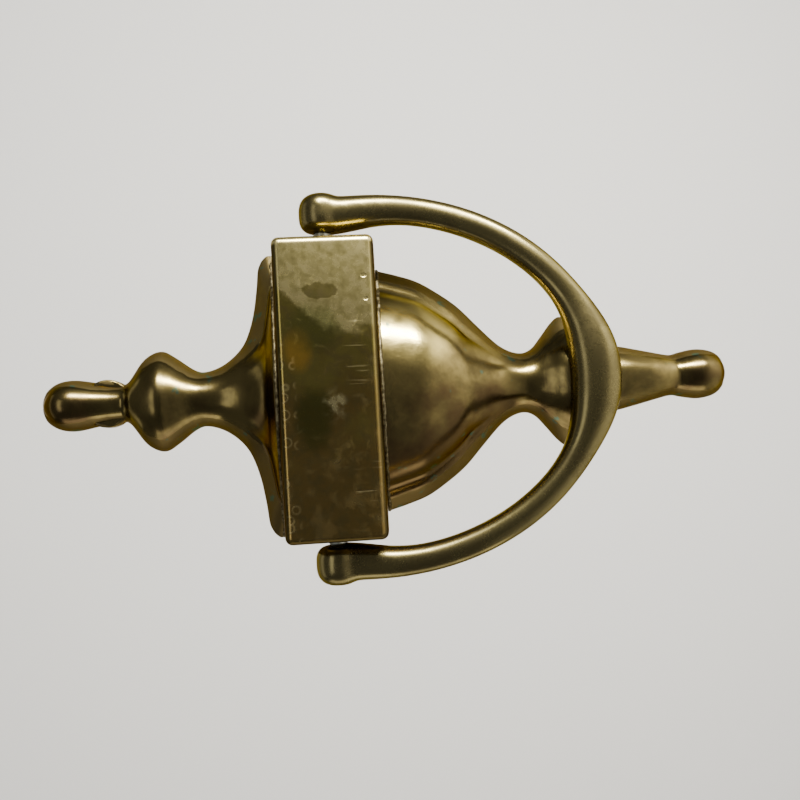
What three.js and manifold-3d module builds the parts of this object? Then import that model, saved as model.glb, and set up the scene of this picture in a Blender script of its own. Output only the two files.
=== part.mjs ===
// Cast brass urn door knocker: a half-turned urn with a raised name band and a swinging crescent handle.
// Millimetres. +Z runs up the door to the finial, -Y out of the door, +X to the right seen from the front.
// The origin is on the door's face, on the centreline, level with the handle's pivots.
import * as THREE from 'three';
import { mergeVertices } from 'three/addons/utils/BufferGeometryUtils.js';
import Module from 'manifold-3d';

// Clearances
const SEAM_GAP = 0.3; // between parts that touch or are soldered
const PIN_CLEARANCE = 0.3; // round each pin and screw
const END_PLAY = 0.8; // each side, the handle between the band's ends
const HANDLE_SLIDE = 0.7; // how far the handle sits to the right in its end play

// Name band
const BAND_LENGTH = 85.3; // across the door, at the back edge
const BAND_HEIGHT = 30.5; // up the door, at the back edge
const BAND_DEPTH = 26;
const BAND_DRAFT = 1.6; // each side, back edge to front edge
const BAND_EDGE = 1.95; // radius round the front face
const BAND_CORNER = 2.8; // radius of the four corners
const BAND_WALL = 3.2;

// Castings
const CASTING_WALL = 3;
const RIM = 1.4; // upright edge that meets the door
const CREASE_DEPTH = 7.5; // where the sloped skirt meets the turned dome
const DOME_FLAT = 0.48; // height of a wide dome as a share of its half-width
const DOME_SPAN = (72 * Math.PI) / 180; // half the arc that the dome's section takes of a circle
const FLANGE = 2.8; // nearly flat ledge between the bowl's skirt and its dome
const CASTING_STEPS = 54;
const DOME_STEPS = 12;
const HANDLE_STEPS = 40;
const SECTION_SIDES = 14;

// Crown casting: finial, collar and shoulder, measured up from the band
const CROWN_RISE = 67.1; // band to finial tip
const FINIAL_RADIUS = 7.4;
const FINIAL_NECK = 5.4;
const COLLAR_RADIUS = 14.7;
const CROWN_NECK = 8;
const SHOULDER_HALF = 41.4;

// Bowl casting: bowl, stem, foot ring, drop and ball, measured down from the band
const BOWL_DROP = 105; // band to the end of the ball
const BOWL_HALF = 35.9;
const STEM_RADIUS = 9;
const RING_RADIUS = 19.6;
const DROP_RADIUS = 9.5;
const DROP_NECK = 6.2;
const BALL_RADIUS = 7.6;

// Handle
const PIVOT_DEPTH = 14; // pivots in front of the door
const ARM_DROP = 11; // straight part of each arm below the pivots
const ARM_WIDTH = 8;
const ARM_THICKNESS = 7.6;
const STRIKE_WIDTH = 14.1;
const STRIKE_THICKNESS = 11.5;
const STRIKE_SPREAD = 17; // half-length of the swelling in the middle
const STRIKE_BELOW_RING = 3.9; // middle of the striking part below the middle of the ring
const BULB_RADIUS = 6.5;
const BULB_LENGTH = 11.9;
const BULB_ROUND = 4.2; // radius round its outer end
const ARM_INSET = 5; // middle of each arm from the outer end of its bulb

// Pins and door fixings
const PIN_RADIUS = 2.5;
const SPIGOT_RADIUS = 2;
const SPIGOT_LENGTH = 5.5;
const PIN_INSIDE = 2; // how far a pin's tip shows inside the band
const DOOR_THICKNESS = 45;
const SCREW_RADIUS = 2.5;
const SCREW_HEAD_RADIUS = 4.8;
const SCREW_HEAD_HEIGHT = 3;
const SLOT_WIDTH = 1.2;
const THREAD_DEPTH = 6; // screw inside its boss
const WASHER_RADIUS = 7;
const WASHER_THICKNESS = 1.2;
const BOSS_RADIUS = 6.9;
const UPPER_BOSS_HEIGHT = 4.5;

// Where the pieces meet
const crownBase = BAND_HEIGHT / 2 + SEAM_GAP;
const bowlTop = -BAND_HEIGHT / 2 - SEAM_GAP;
const bandEndAtPivot = BAND_LENGTH / 2 - BAND_DRAFT * (PIVOT_DEPTH / BAND_DEPTH);
const bulbFace = bandEndAtPivot + SEAM_GAP + END_PLAY; // bulbs' inner faces from the handle's middle
const armCentre = bulbFace + BULB_LENGTH - ARM_INSET;
const ringLevel = bowlTop - 0.522 * BOWL_DROP;
const handleReach = STRIKE_BELOW_RING - ringLevel;
const upperBossLevel = crownBase + 0.717 * CROWN_RISE;
const lowerBossLevel = ringLevel - 1;

const wasm = await Module();
wasm.setup();

function toSolid(geometry) {
  const bare = geometry.index ? geometry.toNonIndexed() : geometry.clone();
  bare.deleteAttribute('normal');
  bare.deleteAttribute('uv');
  const merged = mergeVertices(bare, 1e-4);
  const mesh = new wasm.Mesh({
    numProp: 3,
    vertProperties: new Float32Array(merged.attributes.position.array),
    triVerts: new Uint32Array(merged.index.array),
  });
  return new wasm.Manifold(mesh);
}

function toGeometry(solid) {
  const mesh = solid.getMesh();
  const geometry = new THREE.BufferGeometry();
  geometry.setAttribute('position', new THREE.BufferAttribute(new Float32Array(mesh.vertProperties), 3));
  geometry.setIndex(new THREE.BufferAttribute(new Uint32Array(mesh.triVerts), 1));
  return geometry;
}

// Skins a row of equal closed rings, each a list of Vector3, and closes both ends with a fan.
function loft(rings) {
  const count = rings[0].length;
  const points = rings.flat();
  const faces = [];
  for (let i = 0; i < rings.length - 1; i += 1) {
    for (let j = 0; j < count; j += 1) {
      const a = i * count + j;
      const b = i * count + ((j + 1) % count);
      faces.push(a, b, b + count, a, b + count, a + count);
    }
  }
  for (const [first, flip] of [[0, true], [points.length - count, false]]) {
    const middle = new THREE.Vector3();
    const ring = points.slice(first, first + count);
    ring.forEach((point) => middle.addScaledVector(point, 1 / count));
    const hub = points.push(middle) - 1;
    for (let j = 0; j < count; j += 1) {
      const a = first + j;
      const b = first + ((j + 1) % count);
      faces.push(...(flip ? [hub, b, a] : [hub, a, b]));
    }
  }
  const geometry = new THREE.BufferGeometry().setFromPoints(points);
  geometry.setIndex(faces);
  return geometry;
}

// A round bar along Y, from the given start towards +Y.
function yBar(radius, start, length, level) {
  const bar = new THREE.CylinderGeometry(radius, radius, length, 24);
  bar.translate(0, start + length / 2, level);
  return toSolid(bar);
}

// A turned solid about X, from [distance, radius] pairs that start and end on the axis.
function xTurned(profile, segments = 24) {
  const points = profile.map(([distance, radius]) => new THREE.Vector2(radius, distance));
  return new THREE.LatheGeometry(points, segments).rotateZ(-Math.PI / 2);
}

// How far the turned dome stands above its crease: fuller when narrow, flatter when wide.
function domeRise(crease) {
  return crease * (DOME_FLAT + 0.25 * Math.exp(-crease / 12));
}

// Depth of the crease, less on narrow parts.
function creaseDepth(half) {
  return Math.min(CREASE_DEPTH, 2 + 0.72 * half);
}

// Smooth stations through [level, half-width, crease level, crease half-width, ledge] rows.
function smoothStations(rows, steps) {
  const outline = new THREE.CatmullRomCurve3(
    rows.map(([level, half, creaseLevel]) => new THREE.Vector3(level, half, creaseLevel)),
    false, 'catmullrom', 0.5);
  const inner = new THREE.CatmullRomCurve3(
    rows.map(([, , , crease, ledge]) => new THREE.Vector3(crease, ledge, 0)), false, 'catmullrom', 0.5);
  const stations = [];
  for (let i = 0; i <= steps; i += 1) {
    const [a, b] = [outline.getPoint(i / steps), inner.getPoint(i / steps)];
    const tangent = outline.getTangent(i / steps);
    const slant = Math.hypot(1, tangent.y / tangent.x);
    stations.push({ level: a.x, half: a.y, creaseLevel: a.z, crease: b.x, ledge: b.y, slant });
  }
  return stations;
}

// An arc over the given half-width, from the right-hand side to the left.
function domeArc(half, base, rise, level) {
  const edge = Math.cos(DOME_SPAN);
  const points = [];
  for (let i = 0; i <= DOME_STEPS; i += 1) {
    const angle = DOME_SPAN * (1 - (2 * i) / DOME_STEPS);
    const out = base + (rise * (Math.cos(angle) - edge)) / (1 - edge);
    points.push(new THREE.Vector3((half * Math.sin(angle)) / Math.sin(DOME_SPAN), -out, level));
  }
  return points;
}

// One ring of a relief casting, from the right-hand rim over the skirt and the dome to the left-hand rim.
function castingRing(station) {
  const { level, half, creaseLevel, crease, ledge } = station;
  const depth = creaseDepth(half);
  const brow = [Math.min(crease + ledge, half - 0.1), -(depth - 0.3 * ledge), creaseLevel];
  const side = [[half, 0, level], [half, -RIM, level], brow];
  const right = side.map((place) => new THREE.Vector3(...place));
  const left = right.map(({ x, y, z }) => new THREE.Vector3(-x, y, z)).reverse();
  return [...right, ...domeArc(crease, depth, domeRise(crease), creaseLevel), ...left];
}

// The matching ring of the hollow behind it, one wall further in and open past the door's face.
function hollowRing(station) {
  const { level, half, creaseLevel, crease, slant } = station;
  const inset = CASTING_WALL * slant;
  const foot = Math.max(half - 1.3 * inset, 1.6);
  const shoulder = Math.min(Math.max(crease - inset, 1), foot - 0.2);
  const base = Math.max(creaseDepth(half) - CASTING_WALL, 0.6);
  const right = [new THREE.Vector3(foot, 1, level), new THREE.Vector3(foot, -0.2, level)];
  const left = right.map(({ x, y, z }) => new THREE.Vector3(-x, y, z)).reverse();
  return [...right, ...domeArc(shoulder, base, domeRise(crease), creaseLevel), ...left];
}

// A casting with its hollow back and a tapped fixing boss, which shows past a narrow casting's sides.
function casting(rows, steps, hollowFrom, hollowTo, bossLevel, bossShows) {
  const stations = smoothStations(rows, steps);
  const hollow = stations.filter(({ level }) => level > hollowFrom && level < hollowTo);
  const outer = toSolid(loft(stations.map(castingRing)));
  const height = bossShows ? UPPER_BOSS_HEIGHT : BAND_DEPTH;
  const bar = yBar(BOSS_RADIUS, -height, height, bossLevel);
  const boss = bossShows ? bar : bar.intersect(outer);
  const holeDepth = THREAD_DEPTH + SEAM_GAP;
  const hole = yBar(SCREW_RADIUS + PIN_CLEARANCE, -holeDepth, holeDepth + 1, bossLevel);
  return outer
    .subtract(toSolid(loft(hollow.map(hollowRing))))
    .add(boss)
    .subtract(hole);
}

function crownCasting() {
  const up = (share) => crownBase + share * CROWN_RISE;
  const rows = [
    [up(1), 0.9, up(0.985), 0.4, 0.1],
    [up(0.975), 0.65 * FINIAL_RADIUS, up(0.955), 0.36 * FINIAL_RADIUS, 0.3],
    [up(0.925), 0.93 * FINIAL_RADIUS, up(0.918), 0.5 * FINIAL_RADIUS, 0.3],
    [up(0.858), FINIAL_RADIUS, up(0.858), 0.54 * FINIAL_RADIUS, 0.3],
    [up(0.77), 0.5 * (FINIAL_RADIUS + FINIAL_NECK), up(0.77), 0.53 * FINIAL_NECK, 0.3],
    [up(0.681), FINIAL_NECK, up(0.681), 0.5 * FINIAL_NECK, 0.3],
    [up(0.63), FINIAL_NECK + 0.9, up(0.626), 0.54 * FINIAL_NECK, 0.3],
    [up(0.565), 0.85 * COLLAR_RADIUS, up(0.558), 0.43 * COLLAR_RADIUS, 0.3],
    [up(0.493), COLLAR_RADIUS, up(0.489), 0.6 * COLLAR_RADIUS, 0.3],
    [up(0.43), 0.85 * COLLAR_RADIUS, up(0.436), 0.48 * COLLAR_RADIUS, 0.3],
    [up(0.357), CROWN_NECK + 0.9, up(0.362), 0.58 * CROWN_NECK, 0.3],
    [up(0.302), CROWN_NECK, up(0.302), 0.52 * CROWN_NECK, 0.3],
    [up(0.217), CROWN_NECK + 2.2, up(0.21), 0.62 * CROWN_NECK, 0.3],
    [up(0.139), 0.37 * SHOULDER_HALF, up(0.114), 0.22 * SHOULDER_HALF, 0.3],
    [up(0.094), 0.56 * SHOULDER_HALF, up(0.05), 0.38 * SHOULDER_HALF, 0.3],
    [up(0.071), 0.77 * SHOULDER_HALF, up(0.026), 0.56 * SHOULDER_HALF, 0.3],
    [up(0.059), 0.92 * SHOULDER_HALF, up(0.013), 0.69 * SHOULDER_HALF, 0.3],
    [up(0.025), 0.995 * SHOULDER_HALF, up(0.004), 0.74 * SHOULDER_HALF, 0.3],
    [up(0), SHOULDER_HALF, up(0), 0.75 * SHOULDER_HALF, 0.3],
  ];
  return casting(rows, CASTING_STEPS, up(0.06), up(0.54), upperBossLevel, true);
}

function bowlCasting() {
  const down = (share) => bowlTop - share * BOWL_DROP;
  const rows = [
    [down(0), BOWL_HALF, down(0), 0.8 * BOWL_HALF, FLANGE],
    [down(0.055), 0.955 * BOWL_HALF, down(0.05), 0.755 * BOWL_HALF, FLANGE],
    [down(0.112), 0.897 * BOWL_HALF, down(0.101), 0.705 * BOWL_HALF, FLANGE],
    [down(0.168), 0.797 * BOWL_HALF, down(0.15), 0.616 * BOWL_HALF, FLANGE],
    [down(0.226), 0.668 * BOWL_HALF, down(0.201), 0.5 * BOWL_HALF, FLANGE],
    [down(0.283), 0.49 * BOWL_HALF, down(0.257), 0.325 * BOWL_HALF, FLANGE],
    [down(0.342), STEM_RADIUS + 2.4, down(0.319), 0.72 * STEM_RADIUS, 0.5 * FLANGE],
    [down(0.394), STEM_RADIUS, down(0.384), 0.51 * STEM_RADIUS, 0.8],
    [down(0.432), STEM_RADIUS + 1.1, down(0.423), 0.59 * STEM_RADIUS, 0.6],
    [down(0.465), 0.71 * RING_RADIUS, down(0.46), 0.41 * RING_RADIUS, 0.5],
    [down(0.494), 0.9 * RING_RADIUS, down(0.492), 0.6 * RING_RADIUS, 0.5],
    [down(0.522), RING_RADIUS, down(0.522), 0.69 * RING_RADIUS, 0.5],
    [down(0.56), 0.88 * RING_RADIUS, down(0.56), 0.58 * RING_RADIUS, 0.5],
    [down(0.598), DROP_RADIUS + 3.1, down(0.598), 0.66 * DROP_RADIUS, 0.4],
    [down(0.636), DROP_RADIUS + 1.1, down(0.636), 0.54 * DROP_RADIUS, 0.4],
    [down(0.693), DROP_RADIUS, down(0.693), 0.5 * DROP_RADIUS, 0.4],
    [down(0.781), 0.47 * (DROP_RADIUS + DROP_NECK), down(0.781), 0.39 * DROP_RADIUS, 0.4],
    [down(0.836), DROP_NECK, down(0.836), 0.48 * DROP_NECK, 0.4],
    [down(0.868), 0.9 * BALL_RADIUS, down(0.868), 0.5 * BALL_RADIUS, 0.4],
    [down(0.916), BALL_RADIUS, down(0.914), 0.54 * BALL_RADIUS, 0.4],
    [down(0.961), 0.89 * BALL_RADIUS, down(0.955), 0.47 * BALL_RADIUS, 0.4],
    [down(0.988), 0.6 * BALL_RADIUS, down(0.978), 0.3 * BALL_RADIUS, 0.3],
    [down(1), 0.9, down(0.987), 0.4, 0.1],
  ];
  const wallBehindBand = bowlTop - CASTING_WALL;
  return casting(rows, CASTING_STEPS, down(0.6), wallBehindBand, lowerBossLevel, false);
}

// A five-sided box open to the door, its front edges rounded and its sides drafted.
function nameBand() {
  const outer = bandBlock(BAND_LENGTH, BAND_HEIGHT, BAND_DEPTH, BAND_CORNER, BAND_EDGE);
  const [length, height] = [BAND_LENGTH - 2 * BAND_WALL, BAND_HEIGHT - 2 * BAND_WALL];
  const inner = bandBlock(length, height, BAND_DEPTH - BAND_WALL, 1, 0.6);
  const pinHole = new THREE.CylinderGeometry(
    PIN_RADIUS + PIN_CLEARANCE, PIN_RADIUS + PIN_CLEARANCE, BAND_LENGTH + 10, 24);
  pinHole.rotateZ(Math.PI / 2).translate(0, -PIVOT_DEPTH, 0);
  return outer.subtract(inner).subtract(toSolid(pinHole));
}

function bandBlock(length, height, depth, corner, edge) {
  const start = 2; // block begins behind the door's face and is trimmed to it
  const [halfLength, halfHeight] = [length / 2 - edge, height / 2 - edge];
  const shape = new THREE.Shape();
  const round = Math.max(corner - edge, 0.2);
  shape.moveTo(-halfLength + round, -halfHeight);
  shape.lineTo(halfLength - round, -halfHeight);
  shape.absarc(halfLength - round, -halfHeight + round, round, -Math.PI / 2, 0);
  shape.absarc(halfLength - round, halfHeight - round, round, 0, Math.PI / 2);
  shape.absarc(-halfLength + round, halfHeight - round, round, Math.PI / 2, Math.PI);
  shape.absarc(-halfLength + round, -halfHeight + round, round, Math.PI, 1.5 * Math.PI);
  const geometry = new THREE.ExtrudeGeometry(shape, {
    depth: depth + start,
    bevelThickness: edge,
    bevelSize: edge,
    bevelSegments: 3,
    curveSegments: 4,
  });
  geometry.translate(0, 0, -start - edge).rotateX(Math.PI / 2);
  const position = geometry.attributes.position;
  for (let i = 0; i < position.count; i += 1) {
    const draft = (BAND_DRAFT * -position.getY(i)) / BAND_DEPTH;
    position.setX(i, position.getX(i) * (1 - (2 * draft) / length));
    position.setZ(i, position.getZ(i) * (1 - (2 * draft) / height));
  }
  const door = new THREE.BoxGeometry(2 * length, 20, 2 * height).translate(0, 10, 0);
  return toSolid(geometry).subtract(toSolid(door));
}

// A crescent: straight arms from the bulbs, then half an ellipse that swells into the striking part.
function handleSolid() {
  const rings = [];
  const sweep = handleReach - ARM_DROP;
  const place = (x, drop, tangent) => {
    const swell = drop > ARM_DROP ? Math.exp(-((Math.abs(x) / STRIKE_SPREAD) ** 2.6)) : 0;
    const half = 0.5 * (ARM_WIDTH + (STRIKE_WIDTH - ARM_WIDTH) * swell);
    const thick = 0.5 * (ARM_THICKNESS + (STRIKE_THICKNESS - ARM_THICKNESS) * swell);
    const normal = new THREE.Vector3(-tangent.z, 0, tangent.x);
    const ring = [];
    for (let j = 0; j < SECTION_SIDES; j += 1) {
      const angle = (2 * Math.PI * j) / SECTION_SIDES;
      const across = half * Math.sign(Math.cos(angle)) * Math.abs(Math.cos(angle)) ** 0.8;
      const out = thick * Math.sign(Math.sin(angle)) * Math.abs(Math.sin(angle)) ** 0.8;
      ring.push(new THREE.Vector3(x, -out, -drop).addScaledVector(normal, across));
    }
    rings.push(ring);
  };
  place(armCentre, 0, new THREE.Vector3(0, 0, -1));
  place(armCentre, 0.5 * ARM_DROP, new THREE.Vector3(0, 0, -1));
  for (let i = 0; i <= HANDLE_STEPS; i += 1) {
    const angle = (Math.PI * i) / HANDLE_STEPS;
    const tangent = new THREE.Vector3(-armCentre * Math.sin(angle), 0, -sweep * Math.cos(angle)).normalize();
    place(armCentre * Math.cos(angle), ARM_DROP + sweep * Math.sin(angle), tangent);
  }
  place(-armCentre, 0.5 * ARM_DROP, new THREE.Vector3(0, 0, 1));
  place(-armCentre, 0, new THREE.Vector3(0, 0, 1));
  let handle = toSolid(loft(rings));
  const hole = [[0, 0], [0, SPIGOT_RADIUS + PIN_CLEARANCE],
    [SPIGOT_LENGTH + 1.3, SPIGOT_RADIUS + PIN_CLEARANCE], [SPIGOT_LENGTH + 1.3, 0]];
  for (const side of [1, -1]) {
    const bulb = xTurned(bulbProfile()).scale(side, 1, 1);
    const bore = xTurned(hole).translate(bulbFace - 1, 0, 0).scale(side, 1, 1);
    handle = handle.add(facedOut(bulb, side)).subtract(facedOut(bore, side));
  }
  return handle;
}

// Flat inner face with a small rounded edge, and an outer end with a large one.
function bulbProfile() {
  const end = bulbFace + BULB_LENGTH;
  const profile = [[bulbFace, 0], [bulbFace, BULB_RADIUS - 1.4], [bulbFace + 0.4, BULB_RADIUS - 0.5],
    [bulbFace + 1.4, BULB_RADIUS]];
  for (let i = 0; i <= 6; i += 1) {
    const angle = (Math.PI / 2) * (i / 6);
    const radius = BULB_RADIUS - BULB_ROUND * (1 - Math.cos(angle));
    profile.push([end - BULB_ROUND * (1 - Math.sin(angle)), radius]);
  }
  profile.push([end, 0]);
  return profile;
}

// A mirrored geometry has its faces turned back outwards before it becomes a solid.
function facedOut(geometry, side) {
  if (side < 0) {
    const index = geometry.index.array;
    for (let i = 0; i < index.length; i += 3) {
      [index[i], index[i + 1]] = [index[i + 1], index[i]];
    }
  }
  return toSolid(geometry);
}

// Steel pin pressed into a bulb, its shoulder turning in the band's end wall.
function pivotPin(side) {
  const face = side * HANDLE_SLIDE + bulbFace;
  const tip = bandEndAtPivot - BAND_WALL - PIN_INSIDE;
  const shoulder = face - SEAM_GAP;
  const profile = [[tip, 0], [tip, PIN_RADIUS - 0.5], [tip + 0.5, PIN_RADIUS], [shoulder, PIN_RADIUS],
    [shoulder, SPIGOT_RADIUS], [face + SPIGOT_LENGTH, SPIGOT_RADIUS], [face + SPIGOT_LENGTH, 0]];
  return facedOut(xTurned(profile).scale(side, 1, 1), side).translate(0, -PIVOT_DEPTH, 0);
}

// Round-headed slotted machine screw, from the room side of the door into its boss.
function mountScrew(level) {
  const seat = DOOR_THICKNESS + WASHER_THICKNESS + 2 * SEAM_GAP;
  const profile = [[0, seat + SCREW_HEAD_HEIGHT]];
  for (let i = 1; i <= 5; i += 1) {
    const angle = (Math.PI / 2) * (i / 5);
    profile.push([SCREW_HEAD_RADIUS * Math.sin(angle), seat + SCREW_HEAD_HEIGHT * Math.cos(angle)]);
  }
  profile.push([SCREW_RADIUS, seat], [SCREW_RADIUS, 0.5 - THREAD_DEPTH], [SCREW_RADIUS - 0.5, -THREAD_DEPTH]);
  profile.push([0, -THREAD_DEPTH]);
  const points = profile.reverse().map(([radius, along]) => new THREE.Vector2(radius, along));
  const screw = toSolid(new THREE.LatheGeometry(points, 24));
  const slot = new THREE.BoxGeometry(3 * SCREW_HEAD_RADIUS, 2, SLOT_WIDTH);
  slot.translate(0, seat + SCREW_HEAD_HEIGHT, 0);
  return screw.subtract(toSolid(slot)).translate(0, 0, level);
}

function mountWasher(level) {
  const start = DOOR_THICKNESS + SEAM_GAP;
  return yBar(WASHER_RADIUS, start, WASHER_THICKNESS, level)
    .subtract(yBar(SCREW_RADIUS + PIN_CLEARANCE, start - 1, WASHER_THICKNESS + 2, level));
}

const brass = { color: 0x8a7a3c, roughness: 0.3, metalness: 1 };
const brightBrass = { color: 0xb09a55, roughness: 0.28, metalness: 1 };
const steel = { color: 0x8d9084, roughness: 0.45, metalness: 1 };

function part(name, solid, finish) {
  const mesh = new THREE.Mesh(toGeometry(solid), new THREE.MeshStandardMaterial(finish));
  mesh.name = name;
  return mesh;
}

// The handle is built about its pivots, then leaned out until its striking part lies on the foot ring.
function leaningHandle() {
  const ringTop = creaseDepth(RING_RADIUS) + domeRise(0.69 * RING_RADIUS);
  const strikeDepth = ringTop + SEAM_GAP + STRIKE_THICKNESS / 2;
  const mesh = part('handle', handleSolid(), brightBrass);
  mesh.rotation.x = -Math.asin((strikeDepth - PIVOT_DEPTH) / handleReach);
  mesh.position.set(HANDLE_SLIDE, -PIVOT_DEPTH, 0);
  return mesh;
}

const group = new THREE.Group();
group.add(part('crown_casting', crownCasting(), brass));
group.add(part('bowl_casting', bowlCasting(), brass));
group.add(part('name_band', nameBand(), brass));
group.add(leaningHandle());
group.add(part('right_pivot_pin', pivotPin(1), steel));
group.add(part('left_pivot_pin', pivotPin(-1), steel));
group.add(part('upper_mount_screw', mountScrew(upperBossLevel), brightBrass));
group.add(part('lower_mount_screw', mountScrew(lowerBossLevel), brightBrass));
group.add(part('upper_mount_washer', mountWasher(upperBossLevel), brightBrass));
group.add(part('lower_mount_washer', mountWasher(lowerBossLevel), brightBrass));

export default group;
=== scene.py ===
import math

import bmesh
import bpy
from mathutils import Matrix, Vector


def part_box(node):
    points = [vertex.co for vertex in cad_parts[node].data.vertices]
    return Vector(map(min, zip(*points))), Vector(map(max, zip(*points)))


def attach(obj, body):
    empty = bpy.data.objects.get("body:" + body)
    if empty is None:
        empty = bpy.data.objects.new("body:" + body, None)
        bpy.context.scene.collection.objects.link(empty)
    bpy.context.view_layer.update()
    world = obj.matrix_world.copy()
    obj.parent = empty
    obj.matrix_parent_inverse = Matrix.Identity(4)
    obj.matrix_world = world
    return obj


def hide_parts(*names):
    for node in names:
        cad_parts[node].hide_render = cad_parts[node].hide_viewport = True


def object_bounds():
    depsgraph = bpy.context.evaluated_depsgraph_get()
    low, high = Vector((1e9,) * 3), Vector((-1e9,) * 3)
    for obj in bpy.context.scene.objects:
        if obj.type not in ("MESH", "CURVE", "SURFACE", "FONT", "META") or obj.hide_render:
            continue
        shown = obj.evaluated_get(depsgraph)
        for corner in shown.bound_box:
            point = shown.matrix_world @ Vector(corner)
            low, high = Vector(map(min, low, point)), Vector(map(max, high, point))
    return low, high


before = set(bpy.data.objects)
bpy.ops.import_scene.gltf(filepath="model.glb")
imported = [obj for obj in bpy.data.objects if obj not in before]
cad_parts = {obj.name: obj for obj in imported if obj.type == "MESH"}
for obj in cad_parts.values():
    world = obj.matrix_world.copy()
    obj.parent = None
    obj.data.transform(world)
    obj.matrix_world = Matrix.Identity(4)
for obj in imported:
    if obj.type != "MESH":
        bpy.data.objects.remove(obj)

MM = 0.001
cad_low, cad_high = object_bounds()


# The camera stands square to the band, a little low, and is turned on its side, so that the knocker
# lies across the picture with its finial to the left.
CAMERA_LENS, CAMERA_SENSOR = 36, 36
view_place = Vector((-13.7, -238.5, -1.9)) * MM
view_up = Vector((0.9974, -0.0481, -0.0529)).normalized()
view_forward = Vector((0.0439, 0.996, -0.0778)).normalized()
view_right = view_forward.cross(view_up).normalized()
bpy.ops.object.select_all(action="DESELECT")
bpy.ops.object.camera_add(location=view_place)
camera = bpy.context.object
camera.rotation_mode = "QUATERNION"
turn = Matrix((view_right, view_right.cross(view_forward).normalized(), -view_forward)).transposed()
camera.rotation_quaternion = turn.to_quaternion()
camera.data.lens = CAMERA_LENS
camera.data.sensor_width = CAMERA_SENSOR
bpy.context.scene.camera = camera


# The stage: a pale floor well below the knocker that turns up into a pale backdrop behind it, a dim
# room all round, and soft lamps. The key lamp is narrow, so that round parts carry thin highlights.
class Wire:
    """One output socket. Expressions on wires add Math nodes to their tree."""

    def __init__(self, tree, socket):
        self.tree, self.socket = tree, socket

    def node(self, kind, settings=None, output=0, **inputs):
        """Adds a node. Inputs are given by name, with _ for a space, or as i0, i1 by place."""
        made = self.tree.nodes.new(kind)
        for name, value in (settings or {}).items():
            setattr(made, name, value)
        for name, value in inputs.items():
            place = int(name[1:]) if name[1:].isdigit() else name.replace("_", " ")
            if isinstance(value, Wire):
                self.tree.links.new(value.socket, made.inputs[place])
            else:
                made.inputs[place].default_value = value
        return Wire(self.tree, made.outputs[output])

    def maths(self, operation, other=0.0, clamp=False):
        return self.node("ShaderNodeMath", {"operation": operation, "use_clamp": clamp}, i0=self, i1=other)

    def __add__(self, other):
        return self.maths("ADD", other)

    def __mul__(self, other):
        return self.maths("MULTIPLY", other)

    def __sub__(self, other):
        return self.maths("SUBTRACT", other)

    def __rsub__(self, other):
        return (self * -1.0) + other

    __radd__, __rmul__ = __add__, __mul__

    def over(self, other):
        return self.maths("MAXIMUM", other)

    def step(self, low, high):
        """0 below low, 1 above high, smooth between. Falls instead where low is above high."""
        if low > high:
            return 1.0 - self.step(high, low)
        return self.node("ShaderNodeMapRange", {"interpolation_type": "SMOOTHSTEP"}, Value=self,
                         From_Min=low, From_Max=high)

    def blend(self, first, second):
        """A colour between first, where this wire is 0, and second, where it is 1."""
        return self.node("ShaderNodeMix", {"data_type": "RGBA"}, 2, i0=self, i6=first, i7=second)

    def noise(self, scale, detail=4.0, roughness=0.55, distortion=0.0):
        return self.node("ShaderNodeTexNoise", Vector=self, Scale=scale, Detail=detail,
                         Roughness=roughness, Distortion=distortion)

    def scaled(self, x, y, z, shift=(0, 0, 0)):
        """A place, moved and stretched, for patterns that run one way."""
        return self.node("ShaderNodeMapping", Vector=self, Scale=(x, y, z), Location=shift)

    def axes(self):
        """X, Y and Z of a place, in millimetres."""
        split = self.tree.nodes.new("ShaderNodeSeparateXYZ")
        self.tree.links.new(self.socket, split.inputs[0])
        return [Wire(self.tree, split.outputs[i]) * 1000.0 for i in range(3)]

    def bump(self, strength, distance, normal=None):
        """A surface normal from this height. Distance is in millimetres."""
        more = {"Normal": normal} if normal else {}
        return self.node("ShaderNodeBump", Height=self, Strength=strength, Distance=distance * MM, **more)


def new_material(name, metallic=1.0):
    """A material with one glossy shader. Returns the material, its shader node and its Object place."""
    material = bpy.data.materials.new(name)
    material.use_nodes = True
    tree = material.node_tree
    shader = tree.nodes["Principled BSDF"]
    shader.inputs["Metallic"].default_value = metallic
    shader.inputs["Specular Tint"].default_value = (0.42, 0.36, 0.24, 1)
    return material, shader, Wire(tree, tree.nodes.new("ShaderNodeTexCoord").outputs["Object"])


def plug(wire, shader, name):
    """Links a wire to one of the shader's sockets."""
    wire.tree.links.new(wire.socket, shader.inputs[name])


FLOOR_WIDTH, FLOOR_LENGTH, FLOOR_FORWARD, BACKDROP_RISE = 8, 3.2, 0.9, 4.0
FLOOR_BELOW = 0.5
ROOM_LIGHT = 0.15
floor_level = cad_low.z - FLOOR_BELOW
bpy.ops.object.select_all(action="DESELECT")
bpy.ops.mesh.primitive_plane_add(size=1, location=(0, 0, 0))
stage = bpy.context.object
stage.name = "stage_floor"
bpy.ops.object.mode_set(mode="EDIT")
bpy.ops.transform.resize(value=(FLOOR_WIDTH, FLOOR_LENGTH, 1))
bpy.ops.transform.translate(value=(0, -FLOOR_FORWARD, floor_level))
sheet = bmesh.from_edit_mesh(stage.data)
for vertex in sheet.verts:
    vertex.select = vertex.co.y > 0
sheet.select_flush_mode()
bpy.ops.mesh.select_mode(type="EDGE")
bpy.ops.mesh.extrude_region_move(TRANSFORM_OT_translate={"value": (0, 0, BACKDROP_RISE)})
bpy.ops.object.mode_set(mode="OBJECT")
paper, shader, _ = new_material("stage_paper", 0.0)
shader.inputs["Base Color"].default_value = (0.80, 0.79, 0.78, 1)
shader.inputs["Roughness"].default_value = 0.9
stage.data.materials.append(paper)

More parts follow.
